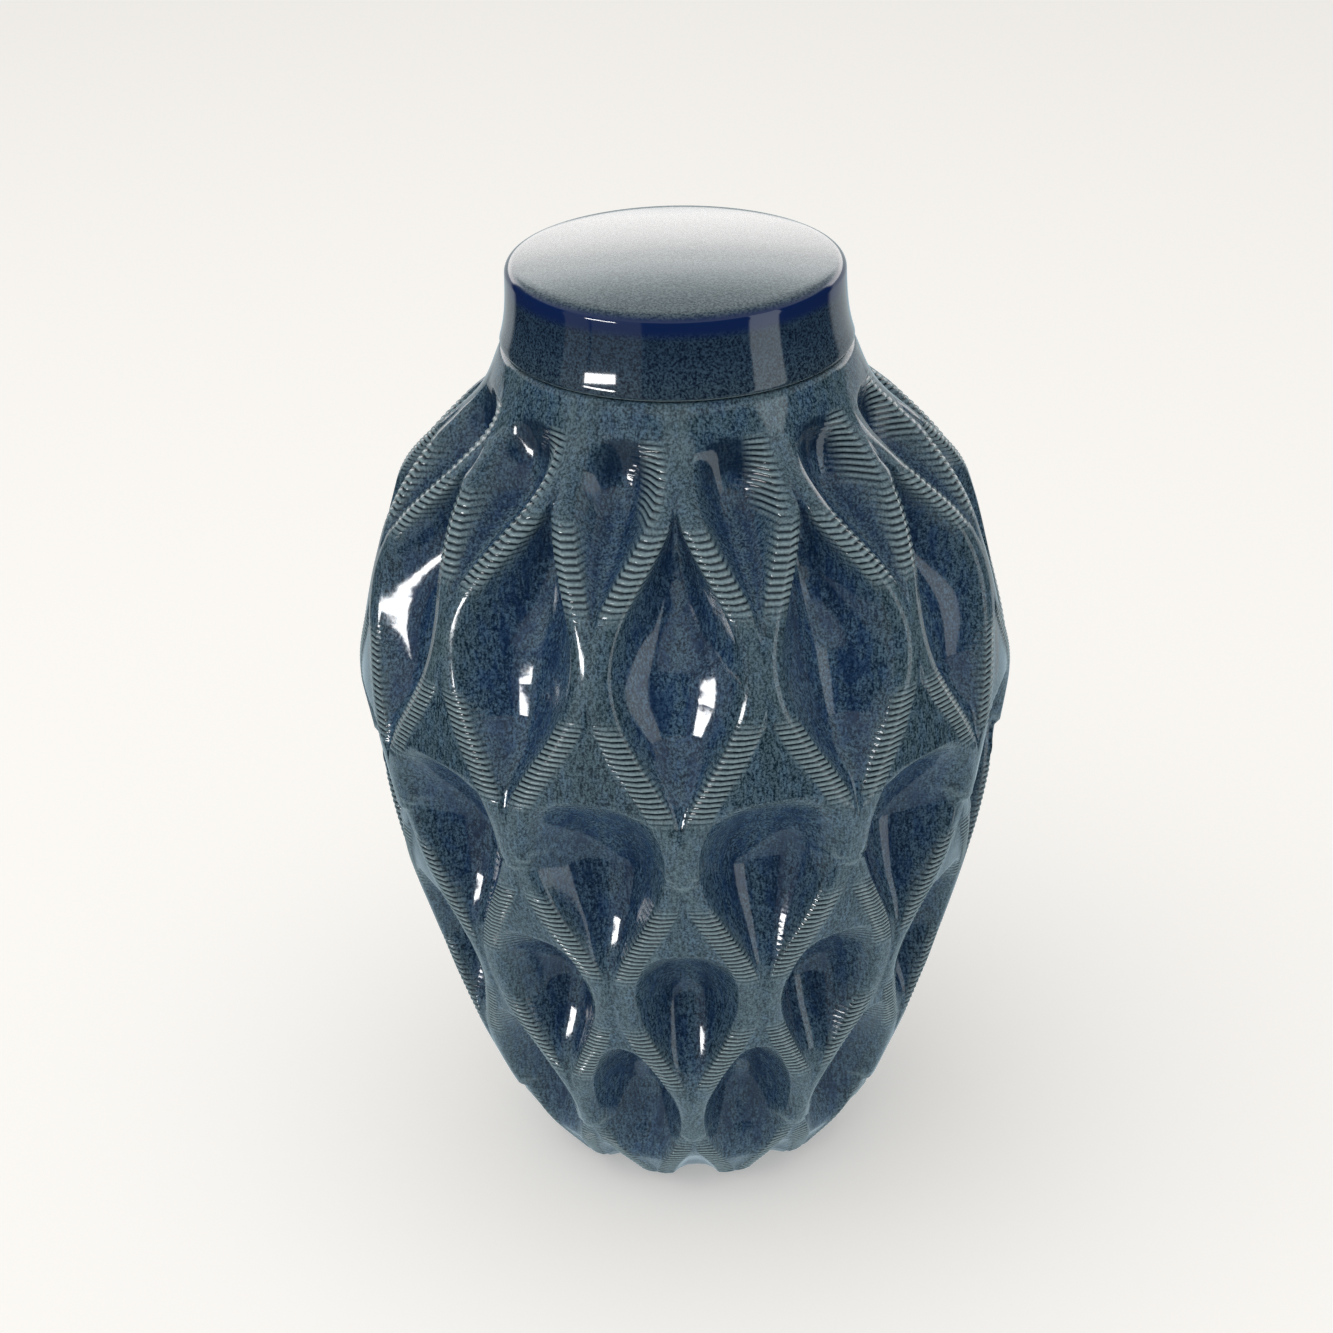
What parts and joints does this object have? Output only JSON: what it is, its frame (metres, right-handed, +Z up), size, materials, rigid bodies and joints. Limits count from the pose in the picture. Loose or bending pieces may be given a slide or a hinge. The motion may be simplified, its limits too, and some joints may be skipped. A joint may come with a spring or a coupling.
{
  "type": "funeral urn",
  "caption": "Glazed ceramic funeral urn with carved paired ridges and eye-shaped hollows, and a flat cap lid that lifts off.",
  "frame": {"origin": "middle of the underside, on the plane the urn stands on", "axes": "+Z up along the axis of turning, -Y towards the front, where a column of eye-shaped hollows faces the viewer"},
  "size_m": [0.19, 0.19, 0.283],
  "materials": {
    "body_glaze": "high-gloss blue-green and navy glaze, pooling dark in the hollows and breaking pale grey-green on the ridges",
    "lid_glaze": "high-gloss mottled navy glaze, pale grey on the top"
  },
  "bodies": {
    "root": {"urn_body": "body_glaze", "lid": "lid_glaze"}
  },
  "joints": []
}
